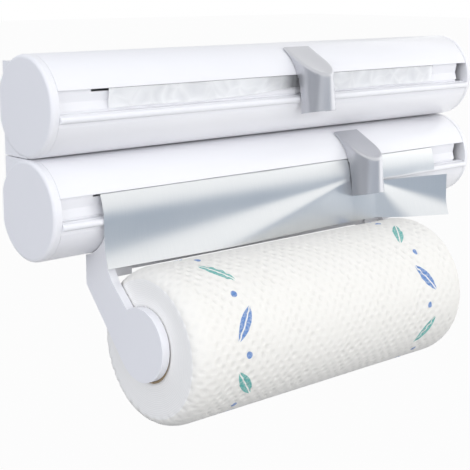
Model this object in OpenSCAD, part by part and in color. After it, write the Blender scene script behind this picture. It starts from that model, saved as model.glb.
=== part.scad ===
// Wall-mounted kitchen roll holder: a film dispenser above a foil dispenser, each with a cutting
// slider on its front, and two arms below them that carry a kitchen paper roll.
// Frame: X to the right along the housings, Y into the wall, Z up.
// The origin lies on the wall, midway between the two wall screws.

/* [Housings] */
// Outer radius of each round housing
tube_r = 30.5; // [28:0.5:36]
// Length of each housing between its end caps
tube_len = 366; // [350:1:440]
// Wall of the lids and troughs
wall_t = 2.2; // [1.6:0.1:2.8]
// Gap between the two housings
tube_gap = 0.6; // [0.4:0.1:3]
// Distance from a housing's axis to its flat back
back_depth = 24.5; // [23:0.5:26]
// Height of the back step above the upper axis
step_h = 25.5; // [24:0.5:27]
// Distance from the axis back to the lid's rear edge
lid_back = 14; // [8:0.5:15]
// Height of a lid's front edge above the axis
lid_edge_h = 10.5; // [9.5:0.5:12]
// Depth of a trough's front edge below the axis
trough_edge_h = 10.5; // [10:0.5:13]

/* [End caps] */
// Thickness of an end cap
cap_t = 5; // [4:0.5:9]
// Rounding of a cap's outer edge
cap_fillet = 2.5; // [1:0.5:3.5]
// How far the cap's square back stands behind its round face
cap_step = 1; // [0.5:0.5:2]
// Depth of the rim that enters the housing
cap_rim_depth = 5; // [3:0.5:10]
// Wall of that rim
cap_rim_t = 1.8; // [1.2:0.2:3]
// Clearance of the rim in the housing
cap_fit = 0.4; // [0.3:0.1:0.8]
// Seam between a cap and the housing
cap_seam = 0.2; // [0.1:0.1:0.6]

/* [Cutting bars] */
// Depth of the channel below the housing's round front
recess_d = 4.4; // [3.5:0.1:5.5]
// Thickness of the bar at its top
bar_t = 2.6; // [2:0.1:3]
// Height of the slot between the bar and the lid
slot_h = 1.6; // [1.2:0.1:2.4]
// Height of the channel's deepest line above the axis
crease_h = 3.5; // [2:0.5:5]
// Extra depth of that line
crease_d = 1.2; // [0.4:0.1:1.6]
// Depth of the groove's middle below the axis
groove_h = 2.3; // [1.9:0.1:2.6]
// Width of the groove
groove_w = 1.4; // [0.8:0.1:1.8]
// Depth of the groove
groove_d = 1.2; // [0.6:0.1:1.6]
// Radius of the bead along the lip
bead_r = 2.2; // [1.6:0.1:2.6]
// How far the bead stands proud of the round front
bead_proud = 1.3; // [0.6:0.1:1.8]
// Depth of the bead's middle below the axis
bead_h = 6; // [5.5:0.1:6.5]
// Height of the tongue behind the trough's edge
tongue_h = 5; // [3:0.5:6]
// Width of the open pocket at the channel's right end
pocket_w = 8; // [6:1:20]
// Thickness of the ridge that closes the channel's left end
ridge_t = 2; // [1:0.5:4]

/* [Film and foil] */
// Width of the cling film
film_w = 292; // [200:1:300]
// Width of the foil
foil_w = 300; // [200:1:310]
// Distance from the housing's left end to the film
film_margin = 35; // [12:1:44]
// Distance from the housing's left end to the foil
foil_margin = 27; // [12:1:34]
// Radius of the wound film
film_r = 19; // [17:0.5:20]
// Radius of the wound foil
foil_r = 20; // [17:0.5:20.5]
// Inner radius of the cardboard cores
core_r = 13; // [10:0.5:14]
// Wall of the cardboard cores
core_t = 1.5; // [1:0.1:2]
// Thickness that stands for a sheet
sheet_t = 0.3; // [0.2:0.05:0.5]
// Clearance between a sheet and what it passes
sheet_gap = 0.35; // [0.3:0.05:0.5]
// Clearance between a loose roll and the floor of its trough
lay_gap = 0.4; // [0.3:0.1:1]
// Depth of the foil's lower edge below the lower housing
foil_below = 1.5; // [-4:0.5:2]
// How far the cut part of the foil stands forward at its right end
foil_forward = 12; // [4:0.5:14]
// How far the cut part of the foil has dropped
foil_slip = 2; // [1:0.5:4]
// Height of the folds that spread from the slider
fold_height = 1.4; // [0.5:0.1:1.8]

/* [Sliders] */
// Width of a slider
slider_w = 25; // [20:0.5:32]
// Place of the upper slider, from the middle
upper_slider_x = 15.5; // [-150:0.5:150]
// Place of the lower slider, from the middle
lower_slider_x = 65.5; // [-120:0.5:110]
// How far the nose stands in front of the housing
nose_reach = 17; // [15:0.5:19]
// How far the nose's curved front stands out from its sides
nose_bulge = 9; // [6:0.5:11]
// Distance from the axis forward to the pad's rear edge
pad_start = 15; // [13:0.5:16]
// Least thickness of the pad over the lid
pad_t = 1; // [0.8:0.1:2]
// Slope of the thumb pad, in degrees
pad_slope = 28; // [25:1:31]
// Depth of the slider's lower end below the axis
slider_drop = 14.5; // [12:0.5:18]
// Wall of a slider
slider_wall = 2; // [1.4:0.1:2.4]
// Clearance between a slider and the housing
slide_gap = 0.5; // [0.4:0.1:0.9]
// Thickness of a blade
blade_t = 0.5; // [0.3:0.1:0.8]
// Width of a blade
blade_w = 10; // [7:0.5:11]

/* [Roll arms] */
// Distance from the housing's left end to the left arm
arm_margin = 31; // [20:1:40]
// Thickness of an arm
arm_t = 5.4; // [4:0.2:7]
// Distance from the housing's front back to an arm's front edge
arm_inset = 1.5; // [1:0.5:3]
// Width of an arm
arm_w = 22.5; // [22:0.5:25]
// Depth of the bend in an arm below the lower housing
arm_bend_below = 18; // [14:0.5:20]
// How far the front edge steps forward below the foil
arm_step = 5; // [2:0.5:6]
// Radius of the disc at the end of an arm
disc_r = 22; // [20:0.5:26]
// Distance from the housing's front back to the middle of the arm rail
rail_inset = 14; // [13:0.5:14]
// Width of the rail's neck
rail_neck_w = 9; // [8:0.5:10]
// Width of the rail's flange
rail_flange_w = 16; // [14:0.5:17]
// Thickness of the rail's flange
rail_flange_t = 7.5; // [5:0.1:8]
// Depth of the flange's upper face below the lower housing
rail_below = 1; // [0.8:0.1:1.5]
// Length of the rail
rail_len = 297; // [285:1:310]
// Length of an arm's shoe on the rail
shoe_len = 20; // [14:1:30]
// Floor of the shoe below the rail
shoe_floor = 2.4; // [2:0.1:3]
// Side wall of the shoe
shoe_wall = 1.3; // [1:0.1:1.5]
// Clearance of the shoe on the rail
shoe_fit = 0.35; // [0.3:0.05:0.5]

/* [Kitchen roll] */
// Radius of the paper roll
paper_r = 47.5; // [30:0.5:50]
// Length of the paper roll
paper_len = 235; // [200:1:236]
// Softness of the roll's rounded ends
paper_round = 4.5; // [2:0.5:14]
// Inner radius of its core
paper_core_r = 19; // [18:0.5:20]
// Wall of its core
paper_core_t = 1.2; // [0.8:0.1:1.6]
// Distance from the housing's front forward to the roll's axis
roll_out = 29.5; // [29.5:0.5:40]
// Depth of the roll's axis below the lower housing
roll_below = 47.5; // [45:0.5:55]
// Height of the hubs above the axis of the roll that hangs on them
hub_lift = 3.5; // [1:0.1:4]
// Clearance between the core and the top of its hubs
hub_fit = 0.4; // [0.3:0.1:0.8]
// Length of a hub
hub_len = 18; // [12:1:30]
// Wall of a hub
hub_wall = 2; // [1.5:0.1:3]
// Side clearance between the roll and the discs
roll_side = 0.6; // [0.4:0.1:1.5]

/* [Wall plate] */
// Thickness of the wall plate
plate_t = 3; // [2.5:0.1:5]
// Height of the wall plate
plate_h = 23; // [16:1:24]
// Length of the wall plate
plate_len = 340; // [300:1:350]
// Distance between the two wall screws
wall_screw_pitch = 280; // [200:1:310]
// Radius of a wall screw hole
wall_hole_r = 2.3; // [1.8:0.1:2.6]
// Radius of the countersink of a wall screw
wall_sink_r = 4.6; // [4:0.1:5]
// Distance from the middle to a housing screw
housing_screw_x = 110; // [60:1:130]
// Height of the housing screws from the plate's middle
housing_screw_z = 7; // [6:0.5:8]

/* [Screws] */
// Radius of a screw's shank
screw_r = 1.5; // [1.2:0.1:2]
// Radius of a screw's head
screw_head_r = 3; // [2.6:0.1:3.6]
// Height of a screw's head
screw_head_h = 1.6; // [1.2:0.1:2]
// Clearance of a shank in its hole
screw_fit = 0.05; // [0.03:0.01:0.1]

/* [Hidden] */
$fn = 96;
eps = 0.01;

// Places of the three axes
roll_forward = tube_r + roll_out;
roll_drop = tube_r + roll_below;
axis_y = -(back_depth + plate_t);
upper_z = tube_r + tube_gap / 2;
lower_z = -upper_z;
roll_y = axis_y - roll_forward;
roll_z = lower_z - roll_drop;

// Housing: everything below is measured from its axis, with the front at minus Y
end_x = tube_len / 2;
inner_r = tube_r - wall_t;
wall_clear = 0.5;
bulge_depth = back_depth + plate_t - wall_clear;
reach = 3 * tube_r;

// Height of a circle above its middle, at a distance h to the side
function on_circle(r, h) = sqrt(r * r - h * h);

// Cutting bar
face_y = -(tube_r - recess_d);
bar_back_y = face_y + bar_t;
bar_top = lid_edge_h - slot_h;
ledge_y = face_y - 0.4;
lip_y = face_y - 1.8;
lip_top = -(groove_h + groove_w / 2 + 0.4);
bead_y = -(tube_r + bead_proud - bead_r);
tongue_r = inner_r - screw_fit;
tongue_t = 2;
post_gap = 3;
post_fit = 0.2;
post_left = min(film_margin, foil_margin) - post_gap;
post_right = tube_len - pocket_w - max(film_margin + film_w, foil_margin + foil_w) - post_gap;

// Sheets
film_x0 = -end_x + film_margin;
foil_x0 = -end_x + foil_margin;
foil_x1 = foil_x0 + foil_w;
foil_drop = tube_r + foil_below;
crest_y = bead_y - bead_r - sheet_gap - sheet_t / 2;

// Sliders
nose_r = slider_w / 2;
front_r = (pow(nose_r, 2) + pow(nose_bulge, 2)) / (2 * nose_bulge);
nose_y = -(tube_r + nose_reach - front_r);
pad_level = tube_r + slide_gap + pad_t;
throat_h = lid_edge_h - 2;
throat_room = 1;
throat_y = crest_y - sheet_t / 2 - slide_gap - throat_room;
blade_tip_y = throat_y + throat_room + 0.1;
blade_root = 4;

// Arms and rail
arm_front = tube_r - arm_inset;
arm_rear = arm_front - arm_w;
arm_bend = tube_r + arm_bend_below;
rail_y = tube_r - rail_inset;
rail_drop = tube_r + rail_below;
left_arm_x = -end_x + arm_margin;
roll_x0 = left_arm_x + arm_t + roll_side;
roll_x1 = roll_x0 + paper_len;
right_arm_x = roll_x1 + roll_side;
rail_x0 = left_arm_x + arm_t;
shoe_bottom = -(rail_drop + rail_flange_t + shoe_fit + shoe_floor);
hook_t = 3;
screw_sink = screw_head_h + 0.2;
hub_base = 3;
hub_r = paper_core_r - hub_lift - hub_fit;
hub_thread = arm_t - 1.4;

// A flat outline in Y and Z, drawn along X
module along_x(from, to) {
    translate([from, 0, 0]) rotate([90, 0, 90]) linear_extrude(to - from) children();
}

// A round bar along X
module rod_x(r, from, to) {
    translate([from, 0, 0]) rotate([0, 90, 0]) cylinder(h = to - from, r = r);
}

// A screw whose head lies at the origin and whose shank points along +Z
module screw(length) {
    translate([0, 0, -screw_head_h]) cylinder(h = screw_head_h, r = screw_head_r);
    cylinder(h = length, r = screw_r);
}

// Housing outline with its square back, drawn in by a wall
module housing_2d(is_upper, inset) {
    low = is_upper ? -tube_r + inset : 0;
    high = is_upper ? step_h - inset : tube_r - inset;
    intersection() {
        union() {
            circle(tube_r - inset);
            translate([0, low]) square([back_depth - inset, high - low]);
        }
        translate([-reach, -reach]) square([reach + bulge_depth - inset, 2 * reach]);
    }
}

module shell_2d(is_upper) {
    difference() {
        housing_2d(is_upper, 0);
        housing_2d(is_upper, wall_t);
    }
}

// Lid: the part of the shell above its front edge and before its rear edge
module lid(is_upper) {
    along_x(-end_x, end_x) intersection() {
        shell_2d(is_upper);
        translate([-reach, lid_edge_h]) square([reach + lid_back, reach]);
    }
}

// Trough: floor and back of the shell, with the holes of its screws
module trough(is_upper) {
    screw_z = is_upper ? housing_screw_z - upper_z : upper_z - housing_screw_z;
    difference() {
        along_x(-end_x, end_x) difference() {
            shell_2d(is_upper);
            translate([-reach, -trough_edge_h]) square([reach + lid_back, reach]);
        }
        for (side = [-1, 1])
            translate([side * housing_screw_x, back_depth - 2 * wall_t, screw_z])
                rotate([-90, 0, 0]) cylinder(h = 4 * wall_t, r = screw_r + screw_fit);
    }
}

// Cutting bar: channel and groove up to the pocket, lip and bead over the whole length
module cutting_bar() {
    groove_low = -(groove_h + groove_w / 2);
    groove_high = -(groove_h - groove_w / 2);
    tongue_low = trough_edge_h + tongue_h;
    along_x(-end_x, end_x - pocket_w) polygon([
        [bar_back_y, bar_top],
        [face_y, bar_top],
        [face_y + crease_d, crease_h],
        [ledge_y, groove_high],
        [ledge_y + groove_d, groove_high],
        [ledge_y + groove_d, groove_low - eps],
        [bar_back_y, groove_low - eps]
    ]);
    along_x(-end_x, -end_x + ridge_t)
        translate([ledge_y, groove_low]) square([bar_back_y - ledge_y, bar_top - groove_low]);
    along_x(-end_x, -end_x + post_left) slot_post_2d();
    if (post_right > 0) along_x(end_x - pocket_w - post_right, end_x - pocket_w) slot_post_2d();
    along_x(-end_x, end_x) {
        polygon([
            [bar_back_y, groove_low],
            [ledge_y + groove_d, groove_low],
            [lip_y, lip_top],
            [bead_y, -bead_h],
            [-on_circle(tube_r, trough_edge_h), -trough_edge_h],
            [-on_circle(tongue_r, trough_edge_h), -trough_edge_h],
            [-on_circle(tongue_r, tongue_low), -tongue_low],
            [-on_circle(tongue_r - tongue_t, tongue_low), -tongue_low],
            [bar_back_y, -trough_edge_h]
        ]);
        translate([bead_y, -bead_h]) circle(bead_r);
    }
}

// Post that closes the slot beside the sheet
module slot_post_2d() {
    translate([face_y, bar_top - eps]) square([bar_t, slot_h - post_fit + eps]);
}

// End cap, drawn for the right end
module cap(is_upper) {
    low = is_upper ? -tube_r : 0;
    high = is_upper ? step_h : tube_r;
    translate([end_x + cap_seam, 0, 0]) {
        difference() {
            union() {
                rotate([0, 90, 0]) rotate_extrude() {
                    square([tube_r - cap_fillet, cap_t]);
                    square([tube_r, cap_t - cap_fillet]);
                    translate([tube_r - cap_fillet, cap_t - cap_fillet]) circle(cap_fillet, $fn = 32);
                }
                along_x(0, cap_t - cap_step) translate([0, low]) square([back_depth, high - low]);
            }
            translate([-eps, bulge_depth, -reach]) cube([2 * cap_t, reach, 2 * reach]);
        }
        cap_rim();
    }
}

// Rim inside the housing, open in front where the cutting bar passes
module cap_rim() {
    rim_r = inner_r - cap_fit;
    front_open = lid_edge_h + cap_rim_t;
    front_low = trough_edge_h + tongue_h + cap_rim_t;
    difference() {
        rod_x(rim_r, -cap_rim_depth, eps);
        rod_x(rim_r - cap_rim_t, -2 * cap_rim_depth, 0);
        translate([-2 * cap_rim_depth, -reach, -front_low])
            cube([2 * cap_rim_depth, reach, front_open + front_low]);
        translate([-2 * cap_rim_depth, bulge_depth - wall_t - cap_fit, -reach])
            cube([3 * cap_rim_depth, reach, 2 * reach]);
    }
}

// Cardboard core and the sheet wound on it, both lying on the trough's floor
module core_tube(roll_radius, from, width) {
    translate([from, 0, -(inner_r - lay_gap - roll_radius)]) difference() {
        rod_x(core_r + core_t, 0, width);
        rod_x(core_r, -1, width + 1);
    }
}

module wound_roll(roll_radius, from, width) {
    translate([from, 0, -(inner_r - lay_gap - roll_radius)]) difference() {
        rod_x(roll_radius, 0, width);
        rod_x(core_r + core_t + screw_fit, -1, width + 1);
    }
}

// Where a straight line from a point touches a circle
function touch(point, middle, r, side) =
    let (
        away = middle - point,
        d = norm(away),
        turn = atan2(away[1], away[0]) + side * asin(r / d)
    )
    point + on_circle(d, r) * [cos(turn), sin(turn)];

// Path of a sheet from its roll to the slot under the lid
sheet_off = sheet_gap + sheet_t / 2;

function roll_to_slot(roll_radius) =
    let (
        slot = [face_y, bar_top + slot_h / 2],
        middle = [0, -(inner_r - lay_gap - roll_radius)]
    )
    [touch(slot, middle, roll_radius + sheet_off, 1), slot];

// The film clings to the channel and ends at the groove
function film_path() = concat(roll_to_slot(film_r), [
    [face_y - sheet_off, bar_top - 0.5],
    [face_y + crease_d - sheet_off, crease_h],
    [ledge_y - sheet_off, -(groove_h - groove_w / 2)]
]);

// The foil is taut from the slot to the bead and ends at its crest
bead_off = bead_r + sheet_off;

function foil_path() = concat(roll_to_slot(foil_r), [
    [bead_y - bead_off * cos(50), -bead_h + bead_off * sin(50)],
    [bead_y - bead_off * cos(20), -bead_h + bead_off * sin(20)],
    [crest_y, -bead_h]
]);

// A path given a thickness in its own plane
function side_of(path, i, t) =
    let (
        before = path[max(i - 1, 0)],
        after = path[min(i + 1, len(path) - 1)],
        run = (after - before) / norm(after - before)
    )
    path[i] + t * [-run[1], run[0]];

function thick_path(path, t) = concat(
    [for (i = [0:len(path) - 1]) side_of(path, i, t / 2)],
    [for (i = [len(path) - 1:-1:0]) side_of(path, i, -t / 2)]
);

// Foil below the bead: a grid of columns along X and rows downwards
foil_columns = 52;
foil_rows = 9;
cut_x = lower_slider_x + nose_r;
fold_spread = 34;
fold_fade = 120;

// How far a point of the foil lies along the cut, from 0 at the slider to 1 at the right end
function past_cut(x) = max(0, x - cut_x) / (foil_x1 - cut_x);

// Folds that spread like rays from the slider's lower end
function ray_fold(x, z) =
    let (
        aside = x - lower_slider_x,
        below = max(0, -slider_drop - 1 - z),
        away = norm([aside, below]),
        turn = atan2(below, abs(aside) + eps),
        grow = min(1, below / 8) * exp(-away / fold_fade)
    )
    grow * (0.5 - 0.5 * cos(360 * turn / fold_spread));

function foil_point(i, j) =
    let (
        x = foil_x0 + foil_w * i / foil_columns,
        share = past_cut(x),
        slip = foil_slip * min(1, 6 * share),
        top = -bead_h - slip,
        z = top + (-foil_drop - top) * pow(j / foil_rows, 1.15),
        forward = foil_forward * pow(share, 1.4) + fold_height * ray_fold(x, z)
    )
    [x, crest_y - forward, z];

function foil_index(i, j, back) = (i * (foil_rows + 1) + j) * 2 + back;

module hanging_foil() {
    points = [
        for (i = [0:foil_columns], j = [0:foil_rows], back = [0, 1])
            foil_point(i, j) + [0, sheet_t * (back - 0.5), 0]
    ];
    front = [
        for (i = [0:foil_columns - 1], j = [0:foil_rows - 1], half = [0, 1])
            half == 0
                ? [foil_index(i, j, 0), foil_index(i + 1, j, 0), foil_index(i + 1, j + 1, 0)]
                : [foil_index(i, j, 0), foil_index(i + 1, j + 1, 0), foil_index(i, j + 1, 0)]
    ];
    rear = [for (f = front) [f[0] + 1, f[2] + 1, f[1] + 1]];
    rows_edge = [
        for (i = [0:foil_columns - 1], low = [0, 1])
            let (
                j = low * foil_rows,
                a = foil_index(i, j, 0),
                b = foil_index(i + 1, j, 0)
            )
            each low == 0 ? [[a, a + 1, b + 1], [a, b + 1, b]] : [[a, b, b + 1], [a, b + 1, a + 1]]
    ];
    columns_edge = [
        for (j = [0:foil_rows - 1], right = [0, 1])
            let (
                i = right * foil_columns,
                a = foil_index(i, j, 0),
                b = foil_index(i, j + 1, 0)
            )
            each right == 0 ? [[a, b, b + 1], [a, b + 1, a + 1]] : [[a, a + 1, b + 1], [a, b + 1, b]]
    ];
    polyhedron(points, concat(front, rear, rows_edge, columns_edge));
}

// Plan of a slider: straight sides and a curved nose, drawn in by a wall
module slider_2d(inset) {
    intersection() {
        translate([-nose_r + inset, -reach]) square([2 * (nose_r - inset), reach - pad_start]);
        union() {
            translate([0, nose_y]) circle(front_r - inset);
            translate([-nose_r, nose_y]) square([2 * nose_r, -nose_y]);
        }
    }
}

// Everything under the pad, lowered by a depth: it lies on the lid behind and runs out flat in front
module under_pad(depth) {
    rod_x(pad_level - depth, -reach, reach);
    rotate([pad_slope, 0, 0]) translate([-reach, -reach, -reach])
        cube([2 * reach, reach, reach + pad_level - depth]);
}

// Room for the lid, and for the bead and the sheet that passes over it
module slider_room() {
    rod_x(tube_r + slide_gap, -reach, reach);
    along_x(-reach, reach) polygon([
        [throat_y, -reach],
        [throat_y, -throat_h / 2],
        [-tube_r, throat_h],
        [reach, throat_h],
        [reach, -reach]
    ]);
}

module slider() {
    difference() {
        intersection() {
            translate([0, 0, -slider_drop]) linear_extrude(slider_drop + pad_level) slider_2d(0);
            under_pad(0);
        }
        intersection() {
            translate([0, 0, -reach]) linear_extrude(2 * reach) slider_2d(slider_wall);
            under_pad(slider_wall);
        }
        slider_room();
    }
}

// Block inside the slider that holds the blade level with the bead
module blade_carriage() {
    low = -bead_h - 5;
    high = -bead_h + 6;
    blade_room = blade_t / 2 + screw_fit;
    difference() {
        translate([0, 0, low]) linear_extrude(high - low) intersection() {
            slider_2d(slider_wall + screw_fit);
            translate([-reach, -reach]) square([2 * reach, reach + throat_y - slide_gap]);
        }
        translate([-reach, blade_tip_y - blade_root - screw_fit, -bead_h - blade_room])
            cube([2 * reach, reach, 2 * blade_room]);
    }
}

// Pointed blade that looks towards the bead
module blade() {
    translate([0, 0, -bead_h - blade_t / 2]) linear_extrude(blade_t) polygon([
        [-blade_w / 2, blade_tip_y - blade_root],
        [blade_w / 2, blade_tip_y - blade_root],
        [blade_w / 2, blade_tip_y - blade_root / 2],
        [0, blade_tip_y],
        [-blade_w / 2, blade_tip_y - blade_root / 2]
    ]);
}

// Section of the arm rail, or of the room that a shoe leaves for it
module rail_2d(room) {
    neck = rail_neck_w + 2 * room;
    flange = rail_flange_w + 2 * room;
    translate([-rail_y - neck / 2, -rail_drop - eps]) square([neck, rail_drop]);
    translate([-rail_y - flange / 2, -rail_drop - rail_flange_t - room])
        square([flange, rail_flange_t + 2 * room]);
}

// Outline of an arm, measured from the lower housing's axis
module arm_2d() {
    disc = [-roll_forward, hub_lift - roll_drop];
    rear_bend = [-arm_rear, -arm_bend];
    polygon([
        [-arm_rear, 0],
        rear_bend,
        touch(rear_bend, disc, disc_r, 1),
        disc + disc_r * [cos(58), sin(58)],
        [-arm_front - arm_step, 6 - arm_bend],
        [-arm_front, -foil_drop - 3],
        [-arm_front, 0]
    ]);
    translate(disc) circle(disc_r);
}

// Arm for the left end: plate, disc and the shoe that hangs on the rail
module arm(is_sliding) {
    shoe_top = -(rail_drop - shoe_fit - hook_t);
    shoe_w = rail_flange_w + 2 * (shoe_fit + shoe_wall);
    slot_x = is_sliding ? -1 : arm_t;
    difference() {
        union() {
            along_x(0, arm_t) arm_2d();
            along_x(0, shoe_len) translate([-rail_y - shoe_w / 2, shoe_bottom])
                square([shoe_w, shoe_top - shoe_bottom]);
        }
        rod_x(tube_r + slide_gap, -1, 2 * shoe_len);
        along_x(slot_x, 2 * shoe_len) rail_2d(shoe_fit);
        translate([arm_t - hub_thread, -roll_forward, hub_lift - roll_drop])
            rod_x(screw_r + screw_fit, 0, arm_t);
    }
}

// Cup that enters the kitchen roll's core, drawn for the left arm
module hub() {
    difference() {
        translate([arm_t, 0, 0]) rotate([0, 90, 0]) rotate_extrude() {
            square([hub_r, hub_base]);
            translate([hub_r - hub_wall, 0]) square([hub_wall, hub_len - hub_wall / 2]);
            polygon([
                [hub_r - hub_wall, hub_len - hub_wall / 2 - eps],
                [hub_r, hub_len - hub_wall / 2 - eps],
                [hub_r - hub_wall / 2, hub_len],
                [hub_r - hub_wall, hub_len]
            ]);
        }
        rod_x(screw_r + screw_fit, 0, hub_len);
    }
}

module hub_screw() {
    translate([arm_t + hub_base, 0, 0]) rotate([0, -90, 0]) screw(hub_base + hub_thread - 0.4);
}

// Places of the parts
module at_upper() {
    translate([0, axis_y, upper_z]) children();
}

module at_lower() {
    translate([0, axis_y, lower_z]) children();
}

module at_left_arm() {
    translate([left_arm_x, axis_y, lower_z]) children();
}

module at_right_arm() {
    translate([right_arm_x + arm_t, axis_y, lower_z]) mirror([1, 0, 0]) children();
}

module at_left_hub() {
    translate([left_arm_x, roll_y, roll_z + hub_lift]) children();
}

module at_right_hub() {
    translate([right_arm_x + arm_t, roll_y, roll_z + hub_lift]) mirror([1, 0, 0]) children();
}

white = "white";
grey = [0.68, 0.69, 0.71];

module wall_plate() {
    color("gainsboro") difference() {
        translate([-plate_len / 2, -plate_t, -plate_h / 2]) cube([plate_len, plate_t, plate_h]);
        for (side = [-1, 1]) {
            translate([side * wall_screw_pitch / 2, -plate_t - eps, 0]) rotate([-90, 0, 0]) {
                cylinder(h = plate_t + 1, r = wall_hole_r);
                cylinder(h = wall_sink_r - wall_hole_r, r1 = wall_sink_r, r2 = wall_hole_r);
            }
            for (up = [-1, 1])
                translate([side * housing_screw_x, -plate_t - 1, up * housing_screw_z])
                    rotate([-90, 0, 0]) cylinder(h = plate_t + 2, r = screw_r + screw_fit);
        }
    }
}

module housing_screws() {
    color("silver") for (side = [-1, 1], up = [-1, 1])
        translate([side * housing_screw_x, -plate_t - wall_t, up * housing_screw_z])
            rotate([-90, 0, 0]) screw(wall_t + plate_t - 0.4);
}

module upper_trough() {
    color(white) at_upper() trough(true);
}

module upper_lid() {
    color(white) at_upper() lid(true);
}

module upper_cutting_bar() {
    color(white) at_upper() cutting_bar();
}

module upper_left_cap() {
    color(white) at_upper() mirror([1, 0, 0]) cap(true);
}

module upper_right_cap() {
    color(white) at_upper() cap(true);
}

module film_core() {
    color("tan") at_upper() core_tube(film_r, film_x0, film_w);
}

module film_roll() {
    color("lightcyan") at_upper() wound_roll(film_r, film_x0, film_w);
}

module film_sheet() {
    color("azure") at_upper() along_x(film_x0, film_x0 + film_w)
        polygon(thick_path(film_path(), sheet_t));
}

module upper_slider() {
    color(grey) at_upper() translate([upper_slider_x, 0, 0]) slider();
}

module upper_blade_carriage() {
    color("dimgray") at_upper() translate([upper_slider_x, 0, 0]) blade_carriage();
}

module upper_blade() {
    color("silver") at_upper() translate([upper_slider_x, 0, 0]) blade();
}

module lower_trough() {
    color(white) at_lower() difference() {
        trough(false);
        for (place = [-1:1])
            translate([rail_screw_x(place), -rail_y, -tube_r])
                cylinder(h = tube_r / 2, r = screw_r + screw_fit);
    }
}

module lower_lid() {
    color(white) at_lower() lid(false);
}

module lower_cutting_bar() {
    color(white) at_lower() cutting_bar();
}

module lower_left_cap() {
    color(white) at_lower() mirror([1, 0, 0]) cap(false);
}

module lower_right_cap() {
    color(white) at_lower() cap(false);
}

module foil_core() {
    color("tan") at_lower() core_tube(foil_r, foil_x0, foil_w);
}

module foil_roll() {
    color("lightgray") at_lower() wound_roll(foil_r, foil_x0, foil_w);
}

module foil_sheet() {
    color("lightsteelblue") at_lower() {
        along_x(foil_x0, foil_x1) polygon(thick_path(foil_path(), sheet_t));
        hanging_foil();
    }
}

module lower_slider() {
    color(grey) at_lower() translate([lower_slider_x, 0, 0]) slider();
}

module lower_blade_carriage() {
    color("dimgray") at_lower() translate([lower_slider_x, 0, 0]) blade_carriage();
}

module lower_blade() {
    color("silver") at_lower() translate([lower_slider_x, 0, 0]) blade();
}

// Place of each rail screw along the rail
function rail_screw_x(place) = rail_x0 + rail_len / 2 + place * rail_len / 3;

// Depth of the trough's inner face above a rail screw
rail_screw_top = -on_circle(inner_r, rail_y);

module arm_rail() {
    color(white) at_lower() difference() {
        along_x(rail_x0, rail_x0 + rail_len) rail_2d(0);
        rod_x(tube_r + screw_fit, -tube_len, tube_len);
        for (place = [-1:1])
            translate([rail_screw_x(place), -rail_y, -rail_drop - rail_flange_t - eps]) {
                cylinder(h = rail_drop, r = screw_r + screw_fit);
                cylinder(h = screw_sink + 2 * eps, r = screw_head_r + screw_fit);
            }
        translate([left_arm_x + shoe_len * 3 / 4, -rail_y, -rail_drop - rail_flange_t - eps])
            cylinder(h = rail_flange_t, r = screw_r + screw_fit);
    }
}

module rail_screws() {
    seat = -rail_drop - rail_flange_t + screw_sink;
    color("silver") at_lower() for (place = [-1:1])
        translate([rail_screw_x(place), -rail_y, seat]) screw(rail_screw_top - seat - 0.6);
}

module left_arm() {
    color(white) difference() {
        at_left_arm() arm(false);
        at_left_arm() translate([shoe_len * 3 / 4, -rail_y, shoe_bottom - eps]) {
            cylinder(h = 2 * shoe_floor, r = screw_r + screw_fit);
            cylinder(h = shoe_floor / 2 + 2 * eps, r = screw_head_r + screw_fit);
        }
    }
}

module left_arm_screw() {
    color("silver") at_left_arm() translate([shoe_len * 3 / 4, -rail_y, shoe_bottom + shoe_floor / 2])
        screw(shoe_floor / 2 + shoe_fit + rail_flange_t - 0.4);
}

module left_hub() {
    color(white) at_left_hub() hub();
}

module left_hub_screw() {
    color("silver") at_left_hub() hub_screw();
}

module right_arm() {
    color(white) at_right_arm() arm(true);
}

module right_hub() {
    color(white) at_right_hub() hub();
}

module right_hub_screw() {
    color("silver") at_right_hub() hub_screw();
}

module kitchen_core() {
    color("tan") translate([0, roll_y, roll_z]) difference() {
        rod_x(paper_core_r + paper_core_t, roll_x0, roll_x1);
        rod_x(paper_core_r, roll_x0 - 1, roll_x1 + 1);
    }
}

module kitchen_roll() {
    bore = paper_core_r + paper_core_t + screw_fit;
    color("ivory") translate([roll_x0, roll_y, roll_z]) rotate([0, 90, 0]) rotate_extrude() {
        translate([bore, 0]) square([paper_r - bore - paper_round, paper_len]);
        translate([bore, paper_round]) square([paper_r - bore, paper_len - 2 * paper_round]);
        for (end = [paper_round, paper_len - paper_round])
            translate([paper_r - paper_round, end]) circle(paper_round, $fn = 32);
    }
}

wall_plate();
housing_screws();
upper_trough();
upper_lid();
upper_cutting_bar();
upper_left_cap();
upper_right_cap();
film_core();
film_roll();
film_sheet();
upper_slider();
upper_blade_carriage();
upper_blade();
lower_trough();
lower_lid();
lower_cutting_bar();
lower_left_cap();
lower_right_cap();
foil_core();
foil_roll();
foil_sheet();
lower_slider();
lower_blade_carriage();
lower_blade();
arm_rail();
rail_screws();
left_arm();
left_arm_screw();
left_hub();
left_hub_screw();
right_arm();
right_hub();
right_hub_screw();
kitchen_core();
kitchen_roll();
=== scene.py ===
# %% [markdown]
# # A wall-mounted kitchen roll holder
# Two round white housings give cling film and aluminium foil, and two arms below them carry a
# kitchen paper roll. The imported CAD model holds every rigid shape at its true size, so it is loaded
# first and stays where it is. This lesson gives it finishes, and remakes what is soft, wound or
# finely rounded.

# %% Load the frame
import math

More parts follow.
